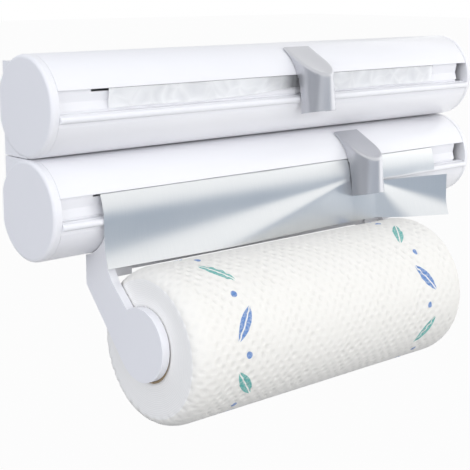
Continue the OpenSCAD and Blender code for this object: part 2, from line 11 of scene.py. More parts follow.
import bmesh
import bpy
import numpy as np
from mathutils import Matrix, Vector


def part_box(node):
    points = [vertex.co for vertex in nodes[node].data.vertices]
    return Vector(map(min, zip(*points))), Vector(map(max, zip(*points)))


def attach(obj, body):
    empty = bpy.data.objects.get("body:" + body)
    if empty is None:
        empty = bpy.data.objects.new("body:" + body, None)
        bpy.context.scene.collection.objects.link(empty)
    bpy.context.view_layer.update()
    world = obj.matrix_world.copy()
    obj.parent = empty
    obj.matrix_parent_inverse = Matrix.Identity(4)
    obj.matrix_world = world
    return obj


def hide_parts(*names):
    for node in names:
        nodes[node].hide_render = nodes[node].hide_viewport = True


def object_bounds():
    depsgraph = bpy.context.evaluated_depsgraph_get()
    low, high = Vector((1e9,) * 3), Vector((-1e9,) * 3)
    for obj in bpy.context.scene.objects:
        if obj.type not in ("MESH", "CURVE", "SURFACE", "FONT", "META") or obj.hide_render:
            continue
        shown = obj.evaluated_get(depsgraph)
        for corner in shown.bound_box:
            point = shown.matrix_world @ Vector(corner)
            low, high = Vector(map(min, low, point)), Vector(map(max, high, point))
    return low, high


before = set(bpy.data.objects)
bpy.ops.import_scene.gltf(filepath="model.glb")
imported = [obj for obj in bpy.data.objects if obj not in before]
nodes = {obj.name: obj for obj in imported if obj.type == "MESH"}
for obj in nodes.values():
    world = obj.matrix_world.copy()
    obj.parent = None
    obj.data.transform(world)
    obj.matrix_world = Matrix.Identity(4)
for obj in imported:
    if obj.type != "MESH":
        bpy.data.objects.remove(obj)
scene = bpy.context.scene
scene.view_settings.view_transform = "Standard"
cad_low, cad_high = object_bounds()
print("CAD box in mm:", [round(1000 * v, 1) for v in [*cad_low, *cad_high]])

# %% [markdown]
# The places below repeat the part's own sizes, in millimetres. Everything is drawn in millimetres
# and made metres in one place, which keeps the numbers easy to read. Each housing has its own axis
# along X, and the front of the holder faces minus Y. The wound film and foil lie loose, so they drop
# below that axis. The slot is where a sheet comes out under the lid, as Y and Z from the axis. The
# paper roll's place is read off its CAD piece.

# %% Sizes shared by the pieces
MM = 0.001
AXIS_Y = -27.5
UPPER_Z, LOWER_Z = 30.8, -30.8
FILM_R, FILM_DROP = 19.0, 8.9
FOIL_R, FOIL_DROP = 20.0, 7.9
SLOT = np.array([-26.1, 10.3])


def span(node):
    """Lowest corner, middle and highest corner of a CAD piece, in mm."""
    low, high = (np.array(corner).round(5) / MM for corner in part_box(node))
    return low, (low + high) / 2, high


roll_low, roll_middle, roll_high = span("kitchen_roll")
ROLL_X = (float(roll_low[0]), float(roll_high[0]))
ROLL_Y, ROLL_Z = float(roll_middle[1]), float(roll_middle[2])
PAPER_R = float(roll_high[2] - roll_low[2]) / 2
print("housing axes at Z", UPPER_Z, "and", LOWER_Z, "mm; roll radius", round(PAPER_R, 2), "mm")

# %% [markdown]
# ## Camera
# The holder is seen from the front left and a little above, through a long lens, so its lines
# hardly converge. The camera looks down a little, and a lens shift moves the frame further down.

# %% Camera
def put(name, data):
    """A new object in the scene that shows a mesh, a lamp or a camera."""
    thing = bpy.data.objects.new(name, data)
    scene.collection.objects.link(thing)
    return thing


camera = put("front_left_camera", bpy.data.cameras.new("front_left_camera"))
scene.camera = camera
camera.location = (-0.5273, -0.6042, 0.1003)
view_way = Vector((0.6477, 0.7460, -0.1554))
camera.rotation_euler = view_way.to_track_quat("-Z", "Y").to_euler()
camera.data.sensor_width = 36
camera.data.lens = 87.61
camera.data.shift_y = -0.149
print("camera looks along", [round(v, 3) for v in view_way.normalized()])

# %% [markdown]
# ## Finishes: helpers
# A colour is written as the sRGB hex value that a painter would read off a chart, and the shader
# needs it linear, so one function converts it. Every node is added by one small function, which
# takes its settings and its inputs: a socket is linked, a node stands for its first output, and
# anything else is set.

# %% Colour and node helpers
def linear(code):
    """An sRGB hex colour as linear red, green, blue and alpha."""
    parts = [int(code[i:i + 2], 16) / 255 for i in (1, 3, 5)]
    return [p / 12.92 if p <= 0.04045 else ((p + 0.055) / 1.055) ** 2.4 for p in parts] + [1]


def feed(node, inputs):
    """Links or sets a node's inputs."""
    for key, value in inputs.items():
        if isinstance(value, bpy.types.Node):
            value = next(output for output in value.outputs if output.enabled)
        if isinstance(value, bpy.types.NodeSocket):
            node.id_data.links.new(value, node.inputs[key])
        else:
            is_colour = isinstance(value, str) and value.startswith("#")
            node.inputs[key].default_value = linear(value) if is_colour else value


def add(tree, kind, inputs=None, **settings):
    """Adds a node with its settings to a tree, and feeds its inputs."""
    node = tree.nodes.new(kind)
    for name, value in settings.items():
        setattr(node, name, value)
    feed(node, inputs or {})
    return node


def start(name, coordinates="Object", **sockets):
    """A new material, its tree, its shader and the place that its patterns follow."""
    finish = bpy.data.materials.new(name)
    finish.use_nodes = True
    tree = finish.node_tree
    shader = tree.nodes["Principled BSDF"]
    feed(shader, {key.replace("_", " "): value for key, value in sockets.items()})
    return finish, tree, shader, add(tree, "ShaderNodeTexCoord").outputs[coordinates]


print("white reads as", [round(v, 3) for v in linear("#F2F2F4")])

# %% [markdown]
# ## Stage and light
# The holder hangs on a wall, so the floor lies well below it. Light Path shows the floor and the
# room as plain white to the camera and to reflections, while the light that falls on the holder
# stays at a plain level: for that light the floor is a mid grey, so that little comes back from
# below, and it keeps a faint shadow. The room is about as bright above as at the sides, and a
# little cooler on the left.

# %% Floor and room
FLOOR_DROP, FLOOR_REACH = 0.8, 30


def shown(tree):
    """1 for rays from the camera, off glossy things or through clear things, and 0 for the rest."""
    rays = add(tree, "ShaderNodeLightPath").outputs
    seen = rays["Is Camera Ray"]
    for kind in ("Is Glossy Ray", "Is Transmission Ray"):
        seen = add(tree, "ShaderNodeMath", {0: seen, 1: rays[kind]}, operation="MAXIMUM")
    return seen


floor_z = cad_low.z - FLOOR_DROP
corners = [(FLOOR_REACH * x, FLOOR_REACH * y, floor_z)
           for x, y in ((-1, -1), (1, -1), (1, 1), (-1, 1))]
floor_mesh = bpy.data.meshes.new("pale_floor")
floor_mesh.from_pydata(corners, [], [(0, 1, 2, 3)])
floor = put("pale_floor", floor_mesh)

floor_paint, tree, shader, _ = start("matt_pale_floor_paint", Roughness=0.9, Base_Color="#7A7B7E")
share = add(tree, "ShaderNodeMath", {0: shown(tree), 1: 0.97}, operation="MULTIPLY")
glow = add(tree, "ShaderNodeEmission", {"Color": "#FFFFFF", "Strength": 1.0})
both = add(tree, "ShaderNodeMixShader", {0: share, 1: shader, 2: glow})
feed(tree.nodes["Material Output"], {"Surface": both})
floor_mesh.materials.append(floor_paint)

room = bpy.data.worlds.new("white_room")
scene.world = room
room.use_nodes = True
tree = room.node_tree
tree.nodes.clear()
place = add(tree, "ShaderNodeTexCoord").outputs["Generated"]
way = add(tree, "ShaderNodeSeparateXYZ", {0: place}).outputs
level = add(tree, "ShaderNodeMapRange", {"Value": way["Z"], 1: 0.0, 2: 1.0, 3: 0.76, 4: 0.74})
warm = add(tree, "ShaderNodeMapRange", {"Value": way["X"], 1: -1.0, 2: 1.0, 3: 0.0, 4: 1.0})
tint = add(tree, "ShaderNodeMix", {0: warm, 6: "#D5DCEC", 7: "#FFFEFA"}, data_type="RGBA")
soft = add(tree, "ShaderNodeBackground", {"Color": tint, "Strength": level})
plain = add(tree, "ShaderNodeBackground", {"Color": "#FFFFFF", "Strength": 1.0})
both = add(tree, "ShaderNodeMixShader", {0: shown(tree), 1: soft, 2: plain})
add(tree, "ShaderNodeOutputWorld", {"Surface": both})
print("floor at", round(1000 * floor_z), "mm")

# %% [markdown]
# Large soft boxes stand to the right, in front and to the left. The left one is the strongest,
# because it alone faces the end caps. They are left out of reflections, so that the plastic shows
# no lamp. Curved cards stand round the holder, seen only in reflections. Metal in a white room has
# nothing dark to show, and the folds of the foil would vanish, so two of them are grey, in front and
# to the left. The bright one on the right draws a light edge along the noses of the sliders.

# %% Soft boxes and cards
middle = Vector((0.0, -0.07, -0.04))
CARD_AWAY, CARD_FOOT, CARD_COLUMNS = 1.1, -0.62, 25


def soft_box(name, way, distance, side, watts):
    """A square lamp that looks at the middle of the holder."""
    lamp = bpy.data.lights.new(name, "AREA")
    lamp.shape, lamp.size, lamp.energy = "SQUARE", side, watts
    box = put(name, lamp)
    way = Vector(way).normalized()
    box.location = middle + way * distance
    box.rotation_euler = (-way).to_track_quat("-Z", "Y").to_euler()
    box.visible_glossy = False


def card(name, turn, top, code, glow=1.0):
    """An upright card, curved round the holder and seen in reflections alone."""
    turns = np.radians(np.linspace(*turn, CARD_COLUMNS))
    spots = [(middle.x + CARD_AWAY * math.sin(a), middle.y - CARD_AWAY * math.cos(a), z)
             for z in (CARD_FOOT, top) for a in turns]
    mesh = bpy.data.meshes.new(name)
    mesh.from_pydata(spots, [], [(i, i + 1, i + 1 + CARD_COLUMNS, i + CARD_COLUMNS)
                                 for i in range(CARD_COLUMNS - 1)])
    thing = put(name, mesh)
    for rays in ("camera", "diffuse", "shadow", "transmission"):
        setattr(thing, "visible_" + rays, False)
    paint, tree, _, _ = start(name + "_paint")
    light = add(tree, "ShaderNodeEmission", {"Color": code, "Strength": glow})
    feed(tree.nodes["Material Output"], {"Surface": light})
    mesh.materials.append(paint)


soft_box("right_soft_box", (0.75, -0.62, 0.04), 1.9, 2.0, 14)
soft_box("front_soft_box", (-0.15, -0.95, 0.12), 2.2, 1.6, 17)
soft_box("left_soft_box", (-0.92, -0.30, 0.22), 2.2, 1.6, 21)
card("front_grey_card", (-25, 58), 0.05, "#A3AEBC")
card("left_grey_card", (-170, -25), 0.35, "#8E939C")
card("right_white_card", (60, 125), 0.60, "#FFFFFF", glow=1.6)

# %% [markdown]
# ## White plastic
# The housings, caps, bars and arms are injection-moulded ABS from a polished mould. The eye gets a
# clean, slightly cool white with a broad soft gloss, a faint orange-peel ripple about 2 mm wide,
# and wide places that handling has dulled a little. A plain white would look like paper. Most other
# finishes also drift between two near colours and from glossier to duller places, over a fine
# relief, so one function does all three. A noise seldom leaves the range from 0.3 to 0.7.

# %% Moulded white ABS
def surface(shader, pattern, colours, dull=None, relief=None):
    """Drifts a finish between two colours by a pattern. Other patterns set its gloss and relief."""
    tree = shader.id_data
    shade = add(tree, "ShaderNodeMix", {0: pattern, 6: colours[0], 7: colours[1]}, data_type="RGBA")
    feed(shader, {"Base Color": shade})
    if dull:
        ends = {"Value": dull[0], 1: 0.3, 2: 0.7, 3: dull[1], 4: dull[2]}
        feed(shader, {"Roughness": add(tree, "ShaderNodeMapRange", ends)})
    if relief:
        ends = {"Height": relief[0], "Strength": relief[1], "Distance": relief[2]}
        feed(shader, {"Normal": add(tree, "ShaderNodeBump", ends)})


white_abs, tree, shader, place = start("moulded_white_abs", IOR=1.54)
flow = add(tree, "ShaderNodeTexNoise", {"Vector": place, "Scale": 1 / 0.060, "Detail": 2.0})
smear = add(tree, "ShaderNodeTexNoise", {"Vector": place, "Scale": 1 / 0.045, "Detail": 1.0})
peel = add(tree, "ShaderNodeTexNoise", {"Vector": place, "Scale": 1 / 0.002, "Detail": 1.0})
surface(shader, flow, ("#F1F1F4", "#EDEDF1"), dull=(smear, 0.28, 0.32), relief=(peel, 0.04, 0.0004))
print("made", white_abs.name)

# %% [markdown]
# ## Silver-grey and dark plastic
# The sliders are ABS coloured with fine aluminium flake: a mostly metallic silver grey that is pale
# where it faces the light and dark where it turns away, with a fine even grain. The real grain is
# about 0.3 mm, too fine for this picture, so it is drawn at 0.7 mm. The blade carriage inside is
# dark glass-filled nylon with a drier face and pale flow marks.

# %% Flake silver ABS and dark nylon
grey_abs, tree, shader, place = start("flake_silver_abs", IOR=1.54, Metallic=0.78)
grain = add(tree, "ShaderNodeTexNoise", {"Vector": place, "Scale": 1 / 0.0007, "Detail": 2.0})
flow = add(tree, "ShaderNodeTexNoise", {"Vector": place, "Scale": 1 / 0.022, "Detail": 2.0})
surface(shader, flow, ("#CDCED2", "#C6C7CC"), dull=(grain, 0.29, 0.35), relief=(grain, 0.06, 0.0003))

dark_nylon, tree, shader, place = start("glass_filled_dark_nylon", IOR=1.53)
flow_marks = (1 / 0.006, 1 / 0.0012, 1 / 0.0012)
fibre = add(tree, "ShaderNodeMapping", {"Vector": place, "Scale": flow_marks})
streak = add(tree, "ShaderNodeTexNoise", {"Vector": fibre, "Scale": 1.0, "Detail": 3.0})
surface(shader, streak, ("#2E3034", "#484B50"), dull=(streak, 0.48, 0.62))
print("made", grey_abs.name, "and", dark_nylon.name)

# %% [markdown]
# ## Wall plate plastic
# The plate behind the housings is textured polypropylene. It is softer than ABS, so the eye sees a
# waxy light grey with a coarse leather-like grain of about 1.5 mm and little gloss.

# %% Textured polypropylene
plate_plastic, tree, shader, place = start("textured_polypropylene", IOR=1.49)
cloud = add(tree, "ShaderNodeTexNoise", {"Vector": place, "Scale": 1 / 0.04, "Detail": 3.0})
cells = add(tree, "ShaderNodeTexVoronoi", {"Vector": place, "Scale": 1 / 0.0015})
surface(shader, cloud, ("#DADBDD", "#CFD0D3"), dull=(cloud, 0.42, 0.55), relief=(cells, 0.2, 0.0004))
print("made", plate_plastic.name)

# %% [markdown]
# ## Steel
# The blades are ground spring steel: fine lines across the edge, drawn 0.3 mm apart, that stretch
# the gloss. The screws are zinc-plated, so they are duller, with bluish and yellowish patches of
# passivation a few millimetres wide.

# %% Ground steel and zinc plate
blade_steel, tree, shader, place = start("ground_spring_steel", Metallic=1.0)
grinding = (1 / 0.0003, 1 / 0.006, 1 / 0.006)
across = add(tree, "ShaderNodeMapping", {"Vector": place, "Scale": grinding})
lines = add(tree, "ShaderNodeTexNoise", {"Vector": across, "Scale": 1.0, "Detail": 2.0})
surface(shader, lines, ("#C8CBCF", "#AEB2B7"), dull=(lines, 0.18, 0.32), relief=(lines, 0.15, 0.0001))

zinc_plate, tree, shader, place = start("zinc_plated_steel", Metallic=1.0)
patch = add(tree, "ShaderNodeTexNoise", {"Vector": place, "Scale": 1 / 0.003, "Detail": 3.0})
surface(shader, patch, ("#BFC7D2", "#CDC8B4"), dull=(patch, 0.26, 0.42))
print("made", blade_steel.name, "and", zinc_plate.name)

# %% [markdown]
# ## Cardboard
# The three cores are tubes wound from strips of grey-brown board. What the eye finds is fibre, a
# slight mottle, and one spiral joint line that climbs 70 mm a turn. The angle round the tube gives
# that line, so each tube has its own copy, centred on its axis.

# %% Spiral-wound board
SPIRAL = 0.070


def wound_board(name, axis_y, axis_z):
    finish, tree, shader, place = start(name, Roughness=0.88)
    axis = (0, -axis_y * MM, -axis_z * MM)
    centred = add(tree, "ShaderNodeMapping", {"Vector": place, "Location": axis})
    xyz = add(tree, "ShaderNodeSeparateXYZ", {0: centred}).outputs
    angle = add(tree, "ShaderNodeMath", {0: xyz["Y"], 1: xyz["Z"]}, operation="ARCTAN2")
    turns = add(tree, "ShaderNodeMath", {0: angle, 1: 2 * math.pi}, operation="DIVIDE")
    climb = add(tree, "ShaderNodeMath", {0: xyz["X"], 1: 1 / SPIRAL, 2: turns},
                operation="MULTIPLY_ADD")
    joint = add(tree, "ShaderNodeMath", {0: climb, 1: 0.5}, operation="PINGPONG")
    line = add(tree, "ShaderNodeMapRange", {"Value": joint, 1: 0.006, 2: 0.014, 3: 1.0, 4: 0.0})
    fibre = add(tree, "ShaderNodeTexNoise", {"Vector": place, "Scale": 1 / 0.0015, "Detail": 4.0})
    shade = add(tree, "ShaderNodeMix", {0: fibre, 6: "#B9A68A", 7: "#9C8768"}, data_type="RGBA")
    drawn = add(tree, "ShaderNodeMix", {0: line, 6: shade, 7: "#7C6A50"}, data_type="RGBA")
    bump = add(tree, "ShaderNodeBump", {"Height": fibre, "Strength": 0.25, "Distance": 0.0002})
    feed(shader, {"Base Color": drawn, "Normal": bump})
    return finish


boards = {
    "film_core": wound_board("film_core_board", AXIS_Y, UPPER_Z - FILM_DROP),
    "foil_core": wound_board("foil_core_board", AXIS_Y, LOWER_Z - FOIL_DROP),
    "kitchen_core": wound_board("kitchen_core_board", ROLL_Y, ROLL_Z),
}
print("made", [b.name for b in boards.values()])

# %% [markdown]
# ## Dressing the CAD pieces
# Shapes that are already right stay. Each gets its finish, and a Bevel breaks the moulded edges, as
# the radius of a real mould does, so that they catch a line of light. The CAD mesh is loose
# triangles, so Weld and a planar Decimate first give the Bevel whole faces.

# %% Finishes and broken edges
finishes = {"white_plastic": white_abs, "grey_plastic": grey_abs, "dark_plastic": dark_nylon,
            "blade_steel": blade_steel, "screw_steel": zinc_plate, "plate_plastic": plate_plastic}
edge_mm = {"lid": 0.5, "trough": 0.4, "cutting_bar": 0.3, "arm": 0.9, "wall_plate": 0.6, "hub": 0.3,
           "carriage": 0.4, "rail": 0.4}


def break_edges(piece, width):
    weld = piece.modifiers.new("join_triangles", "WELD")
    weld.merge_threshold = 1e-5
    flat = piece.modifiers.new("whole_faces", "DECIMATE")
    flat.decimate_type, flat.angle_limit = "DISSOLVE", math.radians(0.6)
    edge = piece.modifiers.new("mould_radius", "BEVEL")
    edge.width, edge.segments, edge.limit_method = width * MM, 3, "ANGLE"
    edge.angle_limit = math.radians(32)
    edge.harden_normals = True


for name, piece in nodes.items():
    finish = boards.get(name) or finishes.get(piece.data.materials[0].name)
    if finish:
        piece.data.materials[0] = finish
    for part, width in edge_mm.items():
        if name.endswith(part):
            break_edges(piece, width)
print("dressed", len(nodes), "CAD pieces")

# %% [markdown]
# ## Pieces from points
# Sheets and rolls are grids of points: rows along one way, columns along the other. These helpers
# make a row, make the grid a mesh with a UV map in metres, so that a pattern on it keeps its real
# size, and put a finished mesh in the scene on the body that carries it.

# %% Grid helpers
def row(*parts):
    """One row of points, or of UV places, from numbers and from arrays of one length."""
    return np.stack(np.broadcast_arrays(*parts), axis=1)


def grid_mesh(name, points, uv, wrap=False):
    """Quads over rows and columns of points in mm, with a UV map in metres."""
    points, uv = np.array(points), np.array(uv)
    rows, columns = points.shape[:2]
    across = columns if wrap else columns - 1
    here = np.arange(rows * columns).reshape(rows, columns)
    ahead = np.roll(here, -1, axis=1)
    quads = np.stack([here[:-1], ahead[:-1], ahead[1:], here[1:]], axis=2)[:, :across]
    mesh = bpy.data.meshes.new(name)
    mesh.from_pydata((points.reshape(-1, 3) * MM).tolist(), [], quads.reshape(-1, 4).tolist())
    near, far = uv[:, :across], uv[:, 1:across + 1]
    spots = np.stack([near[:-1], far[:-1], far[1:], near[1:]], axis=2)
    mesh.uv_layers.new(name="UVMap").data.foreach_set("uv", (spots * MM).ravel())
    mesh.shade_smooth()
    return mesh


def place_piece(name, mesh, body, slot, *replaced):
    """Puts a finished mesh in the scene as a piece that rides on a body."""
    piece = put(name, mesh)
    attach(piece, body)
    if replaced:
        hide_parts(*replaced)
    print(name, "has", len(mesh.polygons), "faces and rides on", body)
    return piece


print("a row of two points:", row(np.arange(2), 0, 1).tolist())

# %% [markdown]
# Both sheets take the same way in. A sheet leaves its roll at a tangent, half a millimetre off the
# wound layers, and runs straight to the slot. From there a cubic curve gives the bow outside.

# %% Ways of the sheets
OFF_ROLL = 0.5


def way_in(r, drop):
    """From where a sheet leaves its roll to the slot, as Y and Z from the housing's axis."""
    r, away = r + OFF_ROLL, np.array([0, -drop]) - SLOT
    d = np.hypot(*away)
    turn = math.atan2(away[1], away[0]) + math.asin(r / d)
    leave = SLOT + math.sqrt(d * d - r * r) * np.array([math.cos(turn), math.sin(turn)])
    return np.linspace(leave, SLOT, 7)


def curve(a, b, c, d, count=18):
    """Points on a cubic curve with four control points."""
    t = np.linspace(0, 1, count)[:, None]
    a, b, c, d = (np.array(p, float) for p in (a, b, c, d))
    return (1 - t) ** 3 * a + 3 * (1 - t) ** 2 * t * b + 3 * (1 - t) * t ** 2 * c + t ** 3 * d


def travelled(path):
    """How far along a path each of its points lies."""
    return np.concatenate([[0], np.cumsum(np.linalg.norm(np.diff(path, axis=0), axis=1))])


print("the foil leaves its roll at", way_in(FOIL_R, FOIL_DROP)[0].round(1))

# %% [markdown]
# ## Aluminium foil
# Household foil is rolled in pairs, so one side is satin. The eye gets a bright metal whose gloss is
# spread along fine rolling lines that run with the sheet, about 0.5 mm apart, with a fine satin
# grain and slight clouds. The pattern follows the sheet's own UV map.

# %% Satin aluminium foil
foil_metal, tree, shader, place = start("satin_aluminium_foil", "UV", Metallic=1.0)
rolling = (1 / 0.0005, 1 / 0.015, 1.0)
run = add(tree, "ShaderNodeMapping", {"Vector": place, "Scale": rolling})
lines = add(tree, "ShaderNodeTexNoise", {"Vector": run, "Scale": 1.0, "Detail": 2.0})
cloud = add(tree, "ShaderNodeTexNoise", {"Vector": place, "Scale": 1 / 0.030, "Detail": 1.0})
satin = add(tree, "ShaderNodeTexNoise", {"Vector": place, "Scale": 1 / 0.0009, "Detail": 2.0})
grain = add(tree, "ShaderNodeMath", {0: satin, 1: lines}, operation="ADD")
surface(shader, lines, ("#F1F3F4", "#E9ECEE"), dull=(cloud, 0.31, 0.34), relief=(grain, 0.03, 0.0001))
print("made", foil_metal.name)

# %% [markdown]
# A sheet that cannot stretch and is held at one spot folds into cones that spread from that spot:
# the height of a fold grows evenly with the distance from the spot, and its slope depends on the
# direction alone. The slider holds the foil at its left and right wall, and the sheet runs straight
# between the two. Each list of folds gives directions in degrees below level and the slope there.

# %% Conical folds
LEFT_HOLD, RIGHT_HOLD = (53.5, -3.0), (77.0, -7.0)
left_folds = (np.radians([0, 3, 9, 11.5, 17, 24, 90]), [0.0, 0.0, 0.40, 0.40, 0.03, 0.0, 0.0])
right_folds = (np.radians([0, 14, 23, 40, 58, 90]), [-0.02, 0.0, 0.38, 0.30, -0.06, -0.12])
SOFTEN = 17


def cone(aside, below, folds):
    """Height of conical folds at a distance aside from and below the spot that holds the sheet."""
    fine = np.linspace(0, math.pi / 2, 400)
    blur = np.hanning(SOFTEN) / np.hanning(SOFTEN).sum()
    steep = np.pad(np.interp(fine, *folds), SOFTEN // 2, mode="edge")
    steep = np.convolve(steep, blur, mode="valid")
    rise = np.concatenate([[0], np.cumsum((steep[1:] + steep[:-1]) / 2 * np.diff(fine))])
    aside = np.maximum(aside, 0)
    return np.hypot(aside, below) * np.interp(np.arctan2(below, aside + 1e-6), fine, rise)


def folded(x, z):
    """How far the folds bring the sheet forward, at places across it and at heights."""
    mid = np.clip((x - LEFT_HOLD[0]) / (RIGHT_HOLD[0] - LEFT_HOLD[0]), 0, 1)
    below = np.maximum(LEFT_HOLD[1] + (RIGHT_HOLD[1] - LEFT_HOLD[1]) * mid - z, 0)
    left = cone(LEFT_HOLD[0] - x, below, left_folds)
    right = cone(x - RIGHT_HOLD[0], below, right_folds)
    return (1 - mid) * left + mid * right


print("a fold 100 mm left of the slider stands", round(float(folded(-46.5, -25.0)), 1), "mm forward")

# %% [markdown]
# The foil comes off its roll, passes the slot under the lid, bows over the lip to a crest and hangs.
# The slider has cut it from the right, so the cut part has slipped down a little, hangs lower and
# stands forward. The band of faces that the cut has opened is deleted, and where the sheet is whole
# its two rows lie together and are merged.

# %% Foil sheet
FOIL_X, CREST, FOIL_LOW = (-156.0, 144.0), np.array([-32.5, -6.0]), -33.4
CUT_X, SLIP, HANG, STAND = 78.0, 2.0, 4.8, 12
columns = np.linspace(*FOIL_X, 301)
bow = curve((-28.4, 10.3), (-29.7, 9.9), (-32.5, 1.2), CREST)
path = np.vstack([way_in(FOIL_R, FOIL_DROP), bow])
lengths = travelled(path)
rows, row_uv = [], []
for (y, z), v in zip(path, lengths):
    rows.append(row(columns, AXIS_Y + y - folded(columns, z), LOWER_Z + z))
    row_uv.append(row(columns, v))
past = np.clip((columns - CUT_X) / (FOIL_X[1] - CUT_X), 0, None)
top = CREST[1] - SLIP * np.minimum(1, 6 * past)
low = FOIL_LOW - HANG * past ** 0.8
for s in np.linspace(0, 1, 40):
    z = top + (low - top) * s
    forward = STAND * past ** 1.4 + folded(columns, z)
    rows.append(row(columns, AXIS_Y + CREST[0] - forward, LOWER_Z + z))
    row_uv.append(row(columns, lengths[-1] + CREST[1] - z))

foil_mesh = grid_mesh("foil", rows, row_uv)
shape = bmesh.new()
shape.from_mesh(foil_mesh)
shape.faces.ensure_lookup_table()
band = len(columns) - 1
torn = shape.faces[band * (len(path) - 1):band * len(path)]
bmesh.ops.delete(shape, geom=torn, context="FACES_ONLY")
bmesh.ops.remove_doubles(shape, verts=shape.verts, dist=2e-6)
shape.to_mesh(foil_mesh)
shape.free()
foil_mesh.materials.append(foil_metal)
foil = place_piece("foil", foil_mesh, "holder", "aluminium_foil", "foil_sheet")

# %% [markdown]
# ## Cling film
# Cling film is blown polyethylene, far thinner than it can be drawn here. It is clear, but where it
# is slack and clings it turns whitish, with a few soft glints. Alpha lets the bar behind show
# through a little, and a cell pattern bent by noise gives the creases, about 12 mm apart. Next to
# the slider the film is painted smoke grey and made opaque, as painted shade from the slider's
# throat, where the film is pulled in. The sheet stores how much painted shade each point gets.

# %% Blown polyethylene film
film_plastic, tree, shader, place = start("blown_polyethylene_film", "UV", IOR=1.51, Roughness=0.2)
bent = add(tree, "ShaderNodeTexNoise", {"Vector": place, "Scale": 1 / 0.020, "Detail": 1.0})
pull = add(tree, "ShaderNodeVectorMath", {0: bent.outputs["Color"], 1: (0.016, 0.016, 0)},
           operation="MULTIPLY")
moved = add(tree, "ShaderNodeVectorMath", {0: place, 1: pull}, operation="ADD")
cells = add(tree, "ShaderNodeTexVoronoi", {"Vector": moved, "Scale": 1 / 0.012},
            feature="DISTANCE_TO_EDGE")
crease = add(tree, "ShaderNodeMapRange", {"Value": cells, 1: 0.0, 2: 0.3, 3: 1.0, 4: 0.0})
haze = add(tree, "ShaderNodeMapRange", {"Value": bent, 1: 0.3, 2: 0.7, 3: 0.66, 4: 0.82})
cover = add(tree, "ShaderNodeMath", {0: crease, 1: 0.06, 2: haze}, operation="MULTIPLY_ADD")
shade = add(tree, "ShaderNodeMix", {0: crease, 6: "#F2F3F5", 7: "#F8F9FA"}, data_type="RGBA")
# Painted shade: next to the slider the film turns smoke grey and opaque, standing in for the shadow
# of the slider's throat.
shade_share = add(tree, "ShaderNodeAttribute", attribute_name="throat_shade").outputs["Fac"]
shaded = add(tree, "ShaderNodeMix", {0: shade_share, 6: shade, 7: "#3E4146"}, data_type="RGBA")
dense = add(tree, "ShaderNodeMath", {0: cover, 1: shade_share}, operation="MAXIMUM")
bump = add(tree, "ShaderNodeBump", {"Height": crease, "Strength": 0.07, "Distance": 0.0006})
feed(shader, {"Base Color": shaded, "Alpha": dense, "Normal": bump})
print("made", film_plastic.name)

# %% [markdown]
# The film leaves its roll, passes the slot and clings to the channel. It has been cut, and its edge
# climbs towards the slider. Waves of several lengths, from a fixed seed, give the slack. They grow
# from the slot down and never reach past the front of the channel.

# %% Film sheet
FILM_X, FILM_LOW, FILM_FRONT = (-148.0, 144.0), -1.4, 28.8
CLIMB_X, CLIMB_WIDE, CLIMB_HIGH, CLIMB_END = 1.0, 34.0, 3.6, 15
STEEP, LEAN, SHOW = 0.011, 9, 0.35


def store(mesh, name, values):
    """Keeps one number for each point of a mesh, for a finish or a tree to read."""
    kept = mesh.attributes.new(name, "FLOAT", "POINT").data
    kept.foreach_set("value", np.array(values, np.float32))


columns = np.linspace(*FILM_X, 293)
near = np.exp(-((columns - CLIMB_X) / CLIMB_WIDE) ** 2)
climb = CLIMB_HIGH * near * (columns < CLIMB_END) + 0.25 * np.sin(columns / 11.0)
lie = curve((-27.9, 10.3), (-28.9, 9.9), (-26.9, 3.0), (-27.7, FILM_LOW))
path = np.vstack([way_in(FILM_R, FILM_DROP), lie])
lengths = travelled(path)
waves = np.random.default_rng(11)
slack = [(waves.uniform(14, 48), waves.uniform(-0.9, 0.9), waves.uniform(0, 6.28))
         for _ in range(10)]
rows, row_uv = [], []
for (y, z), v in zip(path, lengths):
    share = max(0.0, (SLOT[1] - z) / (SLOT[1] - FILM_LOW))
    wave = sum(STEEP * size * np.sin(6.283 * (columns + LEAN * tilt * share) / size + phase)
               for size, tilt, phase in slack)
    forward = np.minimum(SHOW * wave * min(1.0, 2.5 * share) - y, FILM_FRONT)
    rows.append(row(columns, AXIS_Y - forward, UPPER_Z + z + climb * share))
    row_uv.append(row(columns, v))
film_mesh = grid_mesh("film", rows, row_uv)
# Share of painted throat shade along the film: none far off, most just left of the slider.
throat_shade = np.interp(columns, (-24, -10, 0, 5, 16, 27), (0.0, 0.28, 0.8, 0.7, 0.2, 0.0))
store(film_mesh, "throat_shade", np.tile(throat_shade, len(rows)))
film_mesh.materials.append(film_plastic)
film = place_piece("film", film_mesh, "holder", "cling_film", "film_sheet")

# %% [markdown]
# ## Wound film and foil
# Inside the housings lie the rolls that feed the sheets. A wound roll shows its layers at the ends:
# rings that stand a little in or out, because no winding is perfectly level. A lathe of rings gives
# that, and it hides the plain CAD tube. Wound film looks denser than the sheet, a bluish white in
# uneven bands about 9 mm wide.

# %% Wound rolls
CORE_R, RING_GAP, WALL_INSET = 14.6, 0.45, 0.2


def close_lathe(mesh):
    """Joins the seam of a lathe and turns its faces outwards."""
    shape = bmesh.new()
    shape.from_mesh(mesh)
    bmesh.ops.remove_doubles(shape, verts=shape.verts, dist=1e-7)
    bmesh.ops.recalc_face_normals(shape, faces=shape.faces)
    shape.to_mesh(mesh)
    shape.free()


